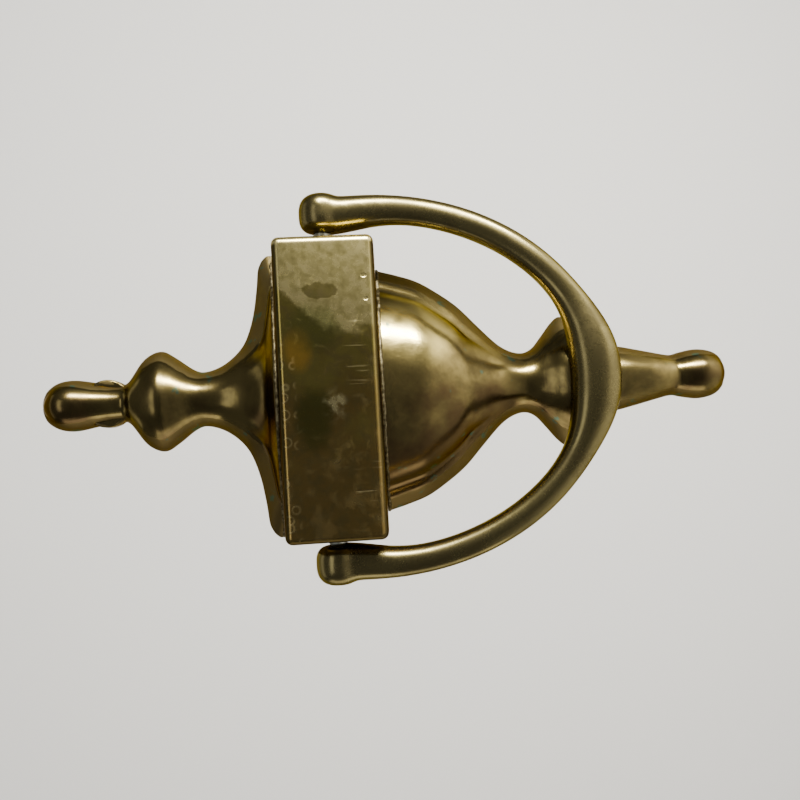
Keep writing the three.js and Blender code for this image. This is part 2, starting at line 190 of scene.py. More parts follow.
world = bpy.data.worlds.new("studio")
bpy.context.scene.world = world
world.use_nodes = True
world.node_tree.nodes["Background"].inputs["Color"].default_value = (0.95, 0.97, 1.0, 1)
world.node_tree.nodes["Background"].inputs["Strength"].default_value = ROOM_LIGHT


def soft_lamp(name, place, target, width, height, power, tint):
    """A soft box at a place, facing a target. Sizes are in metres."""
    bpy.ops.object.light_add(type="AREA", location=place)
    lamp = bpy.context.object
    lamp.name = name
    lamp.data.shape = "RECTANGLE"
    lamp.data.size, lamp.data.size_y = width, height
    lamp.data.energy = power
    lamp.data.color = tint
    lamp.rotation_mode = "QUATERNION"
    lamp.rotation_quaternion = (Vector(target) - Vector(place)).to_track_quat("-Z", "Y")


soft_lamp("key_lamp", (0.71, -0.54, -0.13), (0, 0, -0.01), 0.15, 0.58, 40, (1.0, 0.98, 0.90))
soft_lamp("table_lamp", (-0.8, 0.0, 0.0), (0, 0, 0), 0.35, 0.9, 2.4, (1.0, 0.95, 0.86))
soft_lamp("paper_lamp", (0, 0.12, 1.6), (0, 0.7, 0), 2.4, 0.6, 3, (1.0, 1.0, 1.0))
soft_lamp("floor_lamp", (0, -1.6, 1.2), (0, -0.6, -1), 2.0, 0.6, 6, (1.0, 1.0, 1.0))


# The castings are half-turned urns in sand-cast brass: an upright rim against the door, a rough sloping
# skirt, and a turned and polished dome. Their backs are hollow with a wall of 3 mm. Each is laid from rows
# of [level, half-width, crease level, crease half-width, ledge, hollow], all in millimetres.
WALL = 3.0
RIM = 1.4
DOME_SPAN = math.radians(54)
LEDGE_SPAN = math.radians(20)
DOME_POINTS = 20
SIDE_POINTS = 6
BACK_POINTS = 16
SEAM_LEAN = 1.6 / 26
ROW_STEPS = 4
CREASE_DEPTH, CREASE_START, CREASE_SLOPE = 7.5, 2, 0.72
DOME_FLAT, DOME_EXTRA, DOME_FADE = 0.48, 0.25, 12
ROUNDED, ROUND_UP_TO, ROUND_FADE = 0.85, 20.5, 8.0  # narrow parts are nearly oval, wide ones have a crease
SEAM_FADE = 6
SHARP_BEND, SHARP_HOLD = math.radians(50), 0.75
SMOOTH_ANGLE = math.radians(40)


def crease_depth(half):
    """How far out of the door the skirt ends and the dome begins, by the section's half-width."""
    return min(CREASE_DEPTH, CREASE_START + CREASE_SLOPE * half)


def dome_rise(crease):
    """How far the dome stands out of its crease. A narrow one is fuller than a wide one."""
    return crease * (DOME_FLAT + DOME_EXTRA * math.exp(-crease / DOME_FADE))


def smooth_rows(rows):
    """Rows on a smooth curve through the given rows, with the hollow kept between none and full."""
    made = []
    for i in range(len(rows) - 1):
        a, b, c, d = (rows[min(max(i + k, 0), len(rows) - 1)] for k in (-1, 0, 1, 2))
        for j in range(ROW_STEPS):
            t = j / ROW_STEPS
            row = [0.5 * (2 * q + (r - p) * t + (2 * p - 5 * q + 4 * r - s) * t * t
                          + (3 * q - p - 3 * r + s) * t ** 3) for p, q, r, s in zip(a, b, c, d)]
            row[5] = min(max(row[5], 0), 1)
            made.append(row)
    return made + [list(rows[-1])]


def arc(half, base, rise, level, ledge, count):
    """Points over a dome's section, from the right-hand side to the left. It starts steeper behind a ledge."""
    span = DOME_SPAN + LEDGE_SPAN * min(1, ledge / 2)
    edge = math.cos(span)
    points = []
    for i in range(count + 1):
        angle = span * (1 - 2 * i / count)
        out = base + rise * (math.cos(angle) - edge) / (1 - edge)
        points.append((half * math.sin(angle) / math.sin(span), out, level))
    return points


def rounder(half, height, full, x, out, z):
    """Moves a point of the outside towards an oval section, by a share of full. The rim stays."""
    if out <= RIM:
        return x, out, z
    turn = math.atan2((out - RIM) / height, x / half)
    return x + full * (half * math.cos(turn) - x), out + full * (RIM + height * math.sin(turn) - out), z


def outer_path(row):
    """A casting's outside, from the right-hand back edge over the dome to the left-hand one."""
    level, half, crease_level, crease, ledge = row[:5]
    depth = crease_depth(half)
    brow = min(crease + ledge, half - 0.1)
    side = [(half, 0, level), (half, RIM, level)]
    for i in range(1, SIDE_POINTS - 1):
        t = i / (SIDE_POINTS - 2)
        side.append((half + (brow - half) * t, RIM + (depth - 0.3 * ledge - RIM) * t,
                     level + (crease_level - level) * t))
    left = [(-x, out, z) for x, out, z in reversed(side)]
    path = side + arc(crease, depth, dome_rise(crease), crease_level, ledge, DOME_POINTS) + left
    full = ROUNDED * min(1, max(0, (ROUND_UP_TO - half) / ROUND_FADE))
    height = depth + dome_rise(crease) - RIM
    return [rounder(half, height, full, *point) for point in path]


def inner_path(row):
    """The hollow's surface, from the left-hand back edge to the right-hand one. Flat where hollow is 0."""
    level, half, crease_level, crease, ledge, hollow = row
    foot = half - 1.3 * WALL if half > 3 * WALL else 0.6 * half
    shoulder = min(max(crease - WALL, 0.4 * crease), foot - 0.1)
    base = max(crease_depth(half) - WALL, 0.5)
    dome = arc(shoulder, base, dome_rise(crease), crease_level, ledge, BACK_POINTS)
    dome = [(x, hollow * out, level + hollow * (z - level)) for x, out, z in dome]
    points = [(foot, 0, level)] + dome + [(-foot, 0, level)]
    return points[::-1]


def close_up(mode, rim=0):
    """Merges a rolled sheet's seam, fills its open ends, with a rim if asked, and turns its faces out."""
    bpy.ops.object.mode_set(mode="EDIT")
    bpy.ops.mesh.select_mode(type=mode)
    bpy.ops.mesh.select_all(action="SELECT")
    bpy.ops.mesh.remove_doubles(threshold=0.01 * MM)
    bpy.ops.mesh.select_all(action="DESELECT")
    bpy.ops.mesh.select_non_manifold(extend=False)
    bpy.ops.mesh.edge_face_add()
    if rim:
        bpy.ops.mesh.inset(thickness=rim * MM)
    bpy.ops.mesh.select_all(action="SELECT")
    bpy.ops.mesh.normals_make_consistent(inside=False)
    bpy.ops.object.mode_set(mode="OBJECT")


def lay_casting(name, rows, seam_level):
    """A sheet is rolled into a tube whose rings are the sections, its ends are filled, and it is rounded."""
    stations = smooth_rows(rows)
    rings = [outer_path(row) + inner_path(row) for row in stations]
    count = len(rings[0])
    outside = len(outer_path(stations[0]))
    bpy.ops.object.select_all(action="DESELECT")
    bpy.ops.mesh.primitive_grid_add(x_subdivisions=count, y_subdivisions=len(rings) - 1, size=1)
    casting = bpy.context.object
    casting.name = name
    skirt = casting.data.attributes.new("skirt", "FLOAT", "POINT")
    for vertex in casting.data.vertices:
        ring, point = divmod(vertex.index, count + 1)
        x, out, z = rings[ring][point % count]
        lean = SEAM_LEAN * out * max(0, 1 - abs(z - seam_level) / SEAM_FADE)
        z += -lean if seam_level > 0 else lean
        vertex.co = (x * MM, -out * MM, z * MM)
        edge = min(point % count, outside - 1 - point % count)
        skirt.data[vertex.index].value = 1.0 if edge < SIDE_POINTS - 1 else 0.0
    close_up("EDGE", 0.1)
    sharpen = bmesh.new()
    sharpen.from_mesh(casting.data)
    crease = sharpen.edges.layers.float.new("crease_edge")
    for edge in sharpen.edges:
        if len(edge.link_faces) == 2 and edge.calc_face_angle() > SHARP_BEND:
            edge[crease] = SHARP_HOLD
    sharpen.to_mesh(casting.data)
    sharpen.free()
    rounding = casting.modifiers.new("rounding", "SUBSURF")
    rounding.levels = 1
    bpy.ops.object.modifier_apply(modifier="rounding")
    bpy.ops.object.shade_smooth_by_angle(angle=SMOOTH_ANGLE)
    return casting


crown_low, crown_high = (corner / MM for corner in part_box("crown_casting"))
crown_rise = crown_high.z - crown_low.z
shoulder_half = crown_high.x


def up(share):
    """A level, by its share of the crown's height over the band."""
    return crown_low.z + share * crown_rise


FINIAL, FINIAL_NECK, COLLAR, CROWN_NECK = 7.4, 5.4, 14.7, 8.0
crown = lay_casting("crown", [
    [up(1), 0.5, up(0.993), 0.2, 0.05, 0],
    [up(0.994), 0.34 * FINIAL, up(0.98), 0.17 * FINIAL, 0.1, 0],
    [up(0.975), 0.65 * FINIAL, up(0.955), 0.36 * FINIAL, 0.3, 0],
    [up(0.925), 0.93 * FINIAL, up(0.918), 0.5 * FINIAL, 0.3, 0],
    [up(0.858), FINIAL, up(0.858), 0.54 * FINIAL, 0.3, 0],
    [up(0.77), 0.5 * (FINIAL + FINIAL_NECK), up(0.77), 0.53 * FINIAL_NECK, 0.3, 0],
    [up(0.681), FINIAL_NECK, up(0.681), 0.5 * FINIAL_NECK, 0.3, 0],
    [up(0.63), FINIAL_NECK + 0.9, up(0.626), 0.54 * FINIAL_NECK, 0.3, 0],
    [up(0.565), 0.85 * COLLAR, up(0.558), 0.43 * COLLAR, 0.3, 0],
    [up(0.493), COLLAR, up(0.489), 0.6 * COLLAR, 0.3, 1],
    [up(0.43), 0.85 * COLLAR, up(0.436), 0.48 * COLLAR, 0.3, 1],
    [up(0.357), CROWN_NECK + 0.9, up(0.362), 0.58 * CROWN_NECK, 0.3, 1],
    [up(0.302), CROWN_NECK, up(0.302), 0.52 * CROWN_NECK, 0.3, 1],
    [up(0.217), CROWN_NECK + 2.2, up(0.21), 0.62 * CROWN_NECK, 0.3, 1],
    [up(0.139), 0.37 * shoulder_half, up(0.114), 0.22 * shoulder_half, 0.3, 1],
    [up(0.094), 0.56 * shoulder_half, up(0.05), 0.38 * shoulder_half, 0.3, 0.6],
    [up(0.071), 0.77 * shoulder_half, up(0.026), 0.56 * shoulder_half, 0.3, 0],
    [up(0.059), 0.92 * shoulder_half, up(0.013), 0.69 * shoulder_half, 0.3, 0],
    [up(0.025), 0.995 * shoulder_half, up(0.004), 0.74 * shoulder_half, 0.3, 0],
    [up(0), shoulder_half, up(0), 0.75 * shoulder_half, 0.3, 0],
], crown_low.z)

bowl_low, bowl_high = (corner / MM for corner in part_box("bowl_casting"))
bowl_drop = bowl_high.z - bowl_low.z
bowl_half = bowl_high.x


def down(share):
    """A level, by its share of the drop below the band."""
    return bowl_high.z - share * bowl_drop


STEM, RING, DROP, DROP_NECK, BALL = 9.0, 19.6, 9.5, 6.2, 7.6
LEDGE = 2.8
bowl = lay_casting("bowl_and_drop", [
    [down(0), bowl_half, down(0), 0.8 * bowl_half, LEDGE, 0],
    [down(0.025), 0.98 * bowl_half, down(0.024), 0.78 * bowl_half, LEDGE, 0.2],
    [down(0.055), 0.955 * bowl_half, down(0.05), 0.755 * bowl_half, LEDGE, 1],
    [down(0.112), 0.897 * bowl_half, down(0.101), 0.705 * bowl_half, LEDGE, 1],
    [down(0.168), 0.797 * bowl_half, down(0.15), 0.616 * bowl_half, LEDGE, 1],
    [down(0.226), 0.668 * bowl_half, down(0.201), 0.5 * bowl_half, LEDGE, 1],
    [down(0.283), 0.49 * bowl_half, down(0.257), 0.325 * bowl_half, LEDGE, 1],
    [down(0.342), STEM + 2.4, down(0.319), 0.72 * STEM, 0.5 * LEDGE, 1],
    [down(0.394), STEM, down(0.384), 0.51 * STEM, 0.8, 1],
    [down(0.432), STEM + 1.1, down(0.423), 0.59 * STEM, 0.6, 1],
    [down(0.465), 0.71 * RING, down(0.46), 0.41 * RING, 0.5, 1],
    [down(0.494), 0.9 * RING, down(0.492), 0.6 * RING, 0.5, 1],
    [down(0.522), RING, down(0.522), 0.69 * RING, 0.5, 1],
    [down(0.56), 0.88 * RING, down(0.56), 0.58 * RING, 0.5, 1],
    [down(0.598), DROP + 3.1, down(0.598), 0.66 * DROP, 0.4, 0.4],
    [down(0.636), DROP + 1.1, down(0.636), 0.54 * DROP, 0.4, 0],
    [down(0.693), DROP, down(0.693), 0.5 * DROP, 0.4, 0],
    [down(0.781), 0.47 * (DROP + DROP_NECK), down(0.781), 0.39 * DROP, 0.4, 0],
    [down(0.836), DROP_NECK, down(0.836), 0.48 * DROP_NECK, 0.4, 0],
    [down(0.868), 0.9 * BALL, down(0.868), 0.5 * BALL, 0.4, 0],
    [down(0.916), BALL, down(0.914), 0.54 * BALL, 0.4, 0],
    [down(0.961), 0.89 * BALL, down(0.955), 0.47 * BALL, 0.4, 0],
    [down(0.988), 0.6 * BALL, down(0.978), 0.3 * BALL, 0.3, 0],
    [down(0.997), 0.3 * BALL, down(0.985), 0.14 * BALL, 0.1, 0],
    [down(1), 0.4, down(0.992), 0.15, 0.05, 0],
], bowl_high.z)


# Each casting carries a round tapped boss at its back. The upper one shows past the finial's neck, and the
# lower one stands in the hollow behind the foot ring.
BOSS_RADIUS = 6.9
TAP_RADIUS = 2.8
TAP_DEPTH = 6.3
UPPER_BOSS_HEIGHT, LOWER_BOSS_HEIGHT = 4.5, 10.5
BOSS_CHAMFER = 0.5


def upright_bar(name, radius, near, far, level, segments=48):
    """A round bar across the door, between two depths in front of it."""
    bpy.ops.object.select_all(action="DESELECT")
    bpy.ops.mesh.primitive_cylinder_add(vertices=segments, radius=radius * MM, depth=(far - near) * MM,
                                        location=(0, -0.5 * (near + far) * MM, level * MM),
                                        rotation=(math.pi / 2, 0, 0))
    bar = bpy.context.object
    bar.name = name
    bpy.ops.object.transform_apply()
    return bar


def carve(piece, tool, operation):
    """Joins a tool to a piece or cuts it out, and removes the tool."""
    bpy.ops.object.select_all(action="DESELECT")
    piece.select_set(True)
    bpy.context.view_layer.objects.active = piece
    cut = piece.modifiers.new("cut", "BOOLEAN")
    cut.operation = operation
    cut.object = tool
    cut.solver = "EXACT"
    bpy.ops.object.modifier_apply(modifier="cut")
    bpy.data.objects.remove(tool)


for casting, screw_node, height in ((crown, "upper_mount_screw", UPPER_BOSS_HEIGHT),
                                    (bowl, "lower_mount_screw", LOWER_BOSS_HEIGHT)):
    screw_low, screw_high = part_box(screw_node)
    level = 0.5 * (screw_low.z + screw_high.z) / MM
    boss = upright_bar("boss", BOSS_RADIUS, 0, height, level)
    chamfer = boss.modifiers.new("chamfer", "BEVEL")
    chamfer.width = BOSS_CHAMFER * MM
    chamfer.segments = 3
    bpy.ops.object.modifier_apply(modifier="chamfer")
    carve(casting, boss, "UNION")
    carve(casting, upright_bar("tap", TAP_RADIUS, -1, TAP_DEPTH, level), "DIFFERENCE")
    bpy.ops.object.shade_smooth_by_angle(angle=SMOOTH_ANGLE)
    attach(casting, "urn_body")
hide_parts("crown_casting")
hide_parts("bowl_casting")


# Aged brass of the castings: olive and brown tarnish over a polished yellow metal, with painted shade in the
# brown towards -X, a bright patch of rubbed wear and painted highlight, and a rough golden skirt that was
# never polished.
OLIVE_BRASS, DARK_BRASS = (0.20, 0.155, 0.056, 1), (0.105, 0.081, 0.032, 1)
BROWN_TARNISH_AND_SHADE, RUBBED_HIGHLIGHT_BRASS = (0.08, 0.051, 0.024, 1), (0.62, 0.50, 0.17, 1)
SKIRT_BROWN, VERDIGRIS = (0.12, 0.09, 0.036, 1), (0.06, 0.12, 0.085, 1)
RUBBED_HIGHLIGHT_X, RUBBED_HIGHLIGHT_Z = 16, -24
metal, shader, place = new_material("aged_brass")
x, y, z = place.axes()
skirt = Wire(metal.node_tree, metal.node_tree.nodes.new("ShaderNodeAttribute").outputs["Fac"])
skirt.socket.node.attribute_name = "skirt"
rough_edge = (skirt + (place.noise(420) - 0.5) * 0.7).step(0.3, 0.7)
cloud = place.noise(48, 5, 0.62, 0.5)
mottle = place.scaled(1, 1, 1, (3, 1, 7)).noise(240, 4, 0.6)
grain = place.noise(2200, 3, 0.6)
turned = place.scaled(60, 60, 2600).noise(1.0, 3, 0.5)
tarnish = (cloud * 0.7 + mottle * 0.3).step(0.4, 0.6)
# Brown tarnish in random patches, with painted shade added that grows towards -X.
brown_and_shade = (place.scaled(1, 1, 1, (9, 4, 2)).noise(70, 4, 0.5) - x * 0.011).step(0.44, 0.68)
colour = tarnish.blend(OLIVE_BRASS, DARK_BRASS)
colour = (brown_and_shade * 0.85).blend(colour, BROWN_TARNISH_AND_SHADE)
# A bright patch on the bowl's dome is rubbed wear and a painted highlight, lighter in colour and a little
# smoother.
across, along = (x - RUBBED_HIGHLIGHT_X) * 0.085, (z - RUBBED_HIGHLIGHT_Z) * 0.075
rubbed_highlight = (across * across + along * along + (mottle - 0.5) * 0.6).step(1.3, 0.0)
colour = (rubbed_highlight * 0.6).blend(colour, RUBBED_HIGHLIGHT_BRASS)
colour = (rough_edge * 0.8).blend(colour, SKIRT_BROWN)
verdigris = (place.noise(160, 4, 0.6) + rough_edge * 0.06).step(0.66, 0.70)
colour = (verdigris * 0.7).blend(colour, VERDIGRIS)
plug(colour, shader, "Base Color")
dull = grain * 0.06 + tarnish * 0.05 + mottle * 0.08 + rough_edge * 0.22 - rubbed_highlight * 0.03 + 0.12
plug(dull, shader, "Roughness")
relief = (turned * 0.2 + mottle * 0.3 + rough_edge * (grain * 1.8)).bump(0.35, 0.06)
plug(cloud.bump(0.25, 0.5, relief), shader, "Normal")
aged_brass = metal
for piece in (crown, bowl):
    piece.data.materials.clear()
    piece.data.materials.append(aged_brass)


# Grey solder shows as a lumpy bead where each casting meets the band.
BEAD_SIDES = 10
BEAD_RADIUS = 0.6
BEAD_STEPS = 8
BEAD_LIFT, BEAD_SUNK = 0.1, 0.25
BEAD_MIDDLE = 4  # depth of the point that the bead's outer side faces away from
LUMP_SIZE, LUMP_HEIGHT = 2.7, 0.55
SOLDER_DARK, SOLDER_GREY = (0.05, 0.04, 0.02, 1), (0.17, 0.145, 0.085, 1)
solder, shader, place = new_material("solder")
crumbs = place.noise(900, 4, 0.65)
plug(crumbs.step(0.4, 0.65).blend(SOLDER_DARK, SOLDER_GREY), shader, "Base Color")
plug(crumbs * 0.4 + 0.3, shader, "Roughness")
plug(crumbs.bump(0.7, 0.15), shader, "Normal")
lumps = bpy.data.textures.new("solder_lumps", "CLOUDS")
lumps.noise_scale = LUMP_SIZE * MM
crown_end = (crown_low.z, shoulder_half, crown_low.z, 0.75 * shoulder_half, 0.3, 0)
bowl_end = (bowl_high.z, bowl_half, bowl_high.z, 0.8 * bowl_half, LEDGE, 0)
for name, row, way in (("crown_seam", crown_end, 1), ("bowl_seam", bowl_end, -1)):
    path = [Vector((x, -out, level)) for x, out, level in outer_path(row)[1:-1]]
    last_ring = BEAD_STEPS * (len(path) - 1)
    bpy.ops.object.select_all(action="DESELECT")
    bpy.ops.mesh.primitive_grid_add(x_subdivisions=BEAD_SIDES, y_subdivisions=last_ring, size=1)
    bead = bpy.context.object
    bead.name = name
    for vertex in bead.data.vertices:
        ring, point = divmod(vertex.index, BEAD_SIDES + 1)
        step, share = divmod(ring / BEAD_STEPS, 1)
        start, end = path[int(step)], path[min(int(step) + 1, len(path) - 1)]
        centre = start.lerp(end, share) + Vector((0, 0, way * BEAD_LIFT))
        centre.z -= way * SEAM_LEAN * -centre.y
        away = Vector((centre.x, centre.y + BEAD_MIDDLE, 0)).normalized()
        turn = 2 * math.pi * (point % BEAD_SIDES) / BEAD_SIDES
        size = BEAD_RADIUS * (0.3 if ring in (0, last_ring) else 1)
        centre += away * (size * math.cos(turn) - BEAD_SUNK)
        vertex.co = (centre + Vector((0, 0, size * math.sin(turn)))) * MM
    close_up("VERT")
    lumpy = bead.modifiers.new("lumpy", "DISPLACE")
    lumpy.texture = lumps
    lumpy.strength = LUMP_HEIGHT * MM
    lumpy.mid_level = 0.55
    bpy.ops.object.modifier_apply(modifier="lumpy")
    bpy.ops.object.shade_smooth()
    bead.data.materials.append(solder)
    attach(bead, "urn_body")


# The band is a box casting open at the back, with drafted sides, rounded front edges and a pin hole through
# each end. Its blank face has slight dents, lacquer patches with painted reflection, water spots and
# scratches; its front edges carry painted shade, and the top one a painted highlight over wear.
BAND_WALL = 3.2
BAND_DRAFT = 1.6
BAND_EDGE = 1.95
BAND_EDGE_STEPS = 5
PIVOT_DEPTH = 14.0
PIN_HOLE = 2.8
HOLE_REACH = 10
HOLLOW_DRAFT = (0.96, 1, 0.87)
band_low, band_high = (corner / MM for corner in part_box("name_band"))
band_half, band_rise, band_depth = band_high.x, band_high.z, -band_low.y
bpy.ops.object.select_all(action="DESELECT")
bpy.ops.mesh.primitive_cube_add(size=1, location=(0, 0, 0))
band = bpy.context.object
band.name = "band"
for vertex in band.data.vertices:
    front = vertex.co.y < 0
    draft = BAND_DRAFT if front else 0
    half, rise = band_half - draft, band_rise - draft
    vertex.co = (math.copysign(half, vertex.co.x) * MM, -band_depth * front * MM,
                 math.copysign(rise, vertex.co.z) * MM)
bpy.ops.object.mode_set(mode="EDIT")
shell = bmesh.from_edit_mesh(band.data)
for edge in shell.edges:
    edge.select = any(vertex.co.y < -0.001 for vertex in edge.verts)
bpy.ops.mesh.select_mode(type="EDGE")
bpy.ops.mesh.bevel(offset=BAND_EDGE * MM, segments=BAND_EDGE_STEPS, affect="EDGES")
shell = bmesh.from_edit_mesh(band.data)
for face in shell.faces:
    face.select = all(vertex.co.y > -0.0001 for vertex in face.verts)
bpy.ops.mesh.select_mode(type="FACE")
bpy.ops.mesh.inset(thickness=BAND_WALL * MM)
bpy.ops.mesh.extrude_region_move(TRANSFORM_OT_translate={"value": (0, -(band_depth - BAND_WALL) * MM, 0)})
bpy.ops.transform.resize(value=HOLLOW_DRAFT)
bpy.ops.object.mode_set(mode="OBJECT")
for side in (-1, 1):
    bpy.ops.object.select_all(action="DESELECT")
    bpy.ops.mesh.primitive_cylinder_add(vertices=48, radius=PIN_HOLE * MM, depth=HOLE_REACH * MM,
                                        location=(side * band_half * MM, -PIVOT_DEPTH * MM, 0),
                                        rotation=(0, math.pi / 2, 0))
    hole = bpy.context.object
    bpy.ops.object.transform_apply()
    carve(band, hole, "DIFFERENCE")
bpy.ops.object.shade_smooth_by_angle(angle=math.radians(35))
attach(band, "urn_body")
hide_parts("name_band")

BAND_AMBER, BAND_OLIVE, BAND_DULL = (0.29, 0.195, 0.058, 1), (0.30, 0.245, 0.065, 1), (0.21, 0.16, 0.058, 1)
OLD_LACQUER_AND_REFLECTION, ORANGE_STAIN = (0.36, 0.31, 0.15, 1), (0.66, 0.38, 0.06, 1)
DARK_STAIN, GREEN_STAIN = (0.10, 0.105, 0.026, 1), (0.14, 0.15, 0.04, 1)
PALE_SMEAR, PALE_GRIME, WATER_RING = (0.50, 0.45, 0.25, 1), (0.40, 0.33, 0.18, 1), (0.56, 0.48, 0.26, 1)
BARE_SCRATCH, EDGE_SHADE, WORN_EDGE_AND_HIGHLIGHT = (0.62, 0.53, 0.28, 1), (0.05, 0.038, 0.015, 1), (0.62, 0.52, 0.24, 1)
metal, shader, place = new_material("band_brass")
x, y, z = place.axes()
wander = (place.noise(90, 4) - 0.5)
ragged = (place.noise(450, 3) - 0.5)
face = y.step(-24.6, -25.9)


def spot(at_x, at_z, size_x, size_z, soft=0.25, ragged_by=0.5):
    """1 inside an uneven oval on the band's face, and 0 outside it."""
    across, along = (x - at_x) * (1 / size_x), (z - at_z) * (1 / size_z)
    away = (across * across + along * along) + wander * 0.9 * ragged_by + ragged * ragged_by
    return away.step(1 + soft, 1 - soft)


cloud = place.noise(75, 5, 0.6, 0.4)
fine = place.noise(340, 5, 0.62, 0.3)
height = x * 0.013 + (cloud - 0.5) * 0.9
green = height.step(-0.25, 0.15)
colour = green.blend(BAND_AMBER, BAND_OLIVE)
colour = (fine.step(0.42, 0.66) * 0.7).blend(colour, BAND_DULL)
# A pale patch towards the top end that is old lacquer and a painted reflection.
lacquer_and_reflection = (x + wander * 12 + ragged * 3 - z * z * 0.03 - z * 0.45).step(15.2, 18.2) * face
lens = spot(26, 1.2, 2.3, 5, 0.15, 1.6)
patch = (lacquer_and_reflection - lens * 0.6).over(0.0)
patch = patch * (fine.step(0.3, 0.6) * 0.3 + 0.7)
colour = (patch * 0.62).blend(colour, OLD_LACQUER_AND_REFLECTION)
colour = (spot(10.4, 8.0, 5.4, 3.6, 0.9) * 0.7).blend(colour, ORANGE_STAIN)
colour = (spot(-8, 4.5, 8, 4.6, 0.8, 1.2) * 0.7).blend(colour, DARK_STAIN)
colour = (spot(16, 3.5, 6, 7, 0.8, 1.2) * 0.55).blend(colour, GREEN_STAIN)
smear = spot(-4.8, -1.2, 4.4, 3, 0.7) * fine.step(0.4, 0.62)
colour = (smear * 0.5).blend(colour, PALE_SMEAR)
grime = (place.scaled(1, 1, 1, (5, 5, 5)).noise(210, 6, 0.65, 0.6) - x * 0.0025).step(0.54, 0.72) * face
colour = (grime * 0.12).blend(colour, PALE_GRIME)
cell = place.node("ShaderNodeTexVoronoi", {"feature": "F1"}, Vector=place, Scale=260, Randomness=0.8)
ring = cell.step(0.24, 0.30) * cell.step(0.42, 0.34)
edge_strip = z.step(8.4, 9.6) * (x + wander * 30).step(21, 9)
colour = (ring * edge_strip * face * 0.22).blend(colour, WATER_RING)
slanted = place.node("ShaderNodeVectorRotate", Vector=place, Angle=0.25)
lines = slanted.scaled(1400, 1, 70).noise(1.0, 2, 0.4).step(0.62, 0.7)
scratches = lines * spot(-25, -9.5, 5.5, 4.5, 0.5) + lines * spot(8, -7.5, 10, 3.4, 0.5) * 0.6
colour = (scratches * 0.6).blend(colour, BARE_SCRATCH)
top_edge = x.step(38.6, 39.8)
# Painted shade darkens the rounded front edges, all but the top one.
edge_shade = y.step(-22.0, -23.4) * y.step(-25.97, -25.6) * (1.0 - top_edge)
colour = (edge_shade * 0.95).blend(colour, EDGE_SHADE)
# The top edge is lightened as wear and a painted highlight.
colour = (y.step(-22.5, -24.2) * top_edge * 0.7).blend(colour, WORN_EDGE_AND_HIGHLIGHT)
plug(colour, shader, "Base Color")
rough = patch * 0.09 + cloud * 0.10 + fine * 0.08 + smear * 0.1 + grime * 0.08 + ring * edge_strip * 0.08
plug(rough + edge_shade * 0.12 + 0.09 + scratches * 0.1, shader, "Roughness")
pits = (spot(29.7, -10.6, 0.55, 0.8, 0.5, 0.3) + spot(23.4, -10.9, 0.45, 0.6, 0.5, 0.3)) * -1.0
relief = fine * 0.1 + grime * 0.1 + scratches * -0.2 + patch * 0.15 + ring * edge_strip * 0.15 + pits
relief = relief.bump(0.5, 0.12)
plug(place.noise(30, 1, 0.3).bump(0.3, 1.4, relief), shader, "Normal")
band.data.materials.clear()
band.data.materials.append(metal)


# The handle is one casting: a turned bulb at each end of a crescent that swells into its striking part. The
# bulbs and the crescent are fused and softened as a casting is, then bored for the pins.
ARM_DROP = 11.0
ARM_WIDTH, ARM_THICK = 8.0, 7.6
STRIKE_WIDTH, STRIKE_THICK, STRIKE_SPREAD = 14.1, 11.5, 17.0
BULB_RADIUS, BULB_LENGTH, BULB_ROUND = 6.4, 11.1, 4.5
FACE_ROUND = 3.3
ROOT_SWELL, ROOT_REACH = 1.35, 15.0
ARM_INSET = 5.0
SPIGOT_HOLE, SPIGOT_DEPTH = 2.3, 6.8
SEAM = 0.3
CRESCENT_RINGS, CRESCENT_SIDES = 96, 28
FUSE_GRAIN, SOFTEN_STEPS = 0.42, 60
MIDDLE_LIFT = 3.9
STRIKE_EDGE, SECTION_SQUARE = 2.6, 0.85
handle_low, handle_high = (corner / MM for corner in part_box("handle"))
handle_slide = 0.5 * (handle_low.x + handle_high.x)
outer_end = 0.5 * (handle_high.x - handle_low.x)
bulb_face = outer_end - BULB_LENGTH
arm_centre = outer_end - ARM_INSET
ring_level = down(0.522)
reach = MIDDLE_LIFT - ring_level
ring_top = crease_depth(RING) + dome_rise(0.69 * RING)
strike_depth = ring_top + SEAM + 0.5 * STRIKE_THICK
lean = math.asin((strike_depth - PIVOT_DEPTH) / reach)


def crescent_ring(x, drop, tangent):
    """Points of the crescent's section about one place on its middle line."""
    swell = math.exp(-((abs(x) / STRIKE_SPREAD) ** STRIKE_EDGE)) if drop > ARM_DROP else 0
    root = ROOT_SWELL * math.exp(-(max(drop, 0) / ROOT_REACH) ** 2)
    half = 0.5 * (ARM_WIDTH + (STRIKE_WIDTH - ARM_WIDTH) * swell) + root
    thick = 0.5 * (ARM_THICK + (STRIKE_THICK - ARM_THICK) * swell) + 1.25 * root
    x -= math.copysign(root, x)
    normal = Vector((-tangent.z, 0, tangent.x))
    ring = []
    for j in range(CRESCENT_SIDES):
        angle = 2 * math.pi * j / CRESCENT_SIDES
        across = half * math.copysign(abs(math.cos(angle)) ** SECTION_SQUARE, math.cos(angle))
        out = thick * math.copysign(abs(math.sin(angle)) ** SECTION_SQUARE, math.sin(angle))
        ring.append((Vector((x, -out, -drop)) + normal * across) * MM)
    return ring


